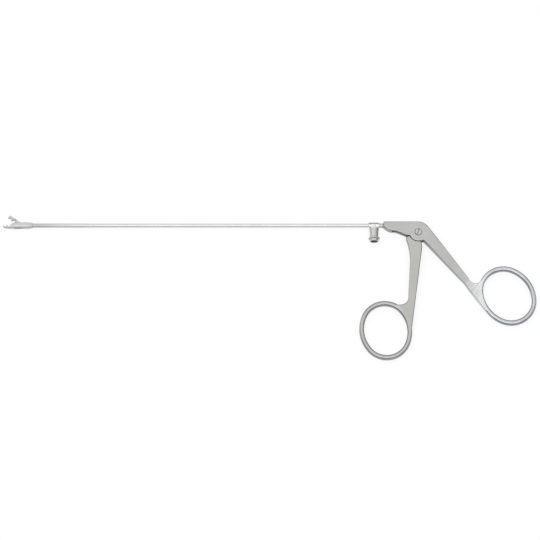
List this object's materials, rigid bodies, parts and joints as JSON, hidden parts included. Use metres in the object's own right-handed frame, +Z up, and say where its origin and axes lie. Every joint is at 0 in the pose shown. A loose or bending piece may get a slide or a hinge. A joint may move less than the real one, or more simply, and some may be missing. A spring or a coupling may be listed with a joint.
{
  "type": "laryngeal forceps",
  "caption": "Long straight laryngeal forceps with ring handles, a slim tube shaft, a toothed jaw that opens upward and a female Luer irrigation port.",
  "frame": {"origin": "middle of the instrument's bounding box, on the surface it lies on", "axes": "+X along the shaft from the jaws to the handle, +Y from the finger ring towards the shaft, +Z up, across the handle's thickness"},
  "size_m": [0.322, 0.0914, 0.0069],
  "materials": {
    "satin_steel": "satin",
    "bright_steel": "polished",
    "port_steel": "satin",
    "jaw_steel": "satin",
    "screw_steel": "polished",
    "rod_steel": "satin",
    "seal_white": "matt"
  },
  "bodies": {
    "frame": {"handle_body": "satin_steel", "shaft_tube": "bright_steel", "shaft_ferrule": "bright_steel", "port_collar": "bright_steel", "irrigation_port": "port_steel", "rod_seal": "seal_white", "jaw_head": "jaw_steel", "jaw_pivot_pin": "jaw_steel", "pivot_screw": "screw_steel"},
    "finger_lever": {"finger_handle": "satin_steel"},
    "rod": {"drive_rod": "rod_steel", "rod_end_fork": "rod_steel", "rod_end_pin": "rod_steel", "rod_tip_fork": "rod_steel", "jaw_drive_pin": "rod_steel"},
    "upper_jaw": {"moving_jaw": "jaw_steel"}
  },
  "joints": [
    {"name": "handle_hinge", "type": "hinge", "parent": "frame", "child": "finger_lever", "pos_m": [0.09024, 0.03461, 0.00345], "axis": [0, 0, 1], "range_deg": [0, 13]},
    {"name": "rod_slide", "type": "slide", "parent": "frame", "child": "rod", "axis": [-1, 0, 0], "range_m": [0, 0.00113]},
    {"name": "jaw_hinge", "type": "hinge", "parent": "frame", "child": "upper_jaw", "pos_m": [-0.15046, 0.03866, 0.00345], "axis": [0, 0, 1], "range_deg": [0, 36.55]}
  ],
  "couplings": [
    {"joint": "rod_slide", "follows": "handle_hinge", "m_per_rad": 0.0049714},
    {"joint": "jaw_hinge", "follows": "handle_hinge", "ratio": 2.8077}
  ]
}
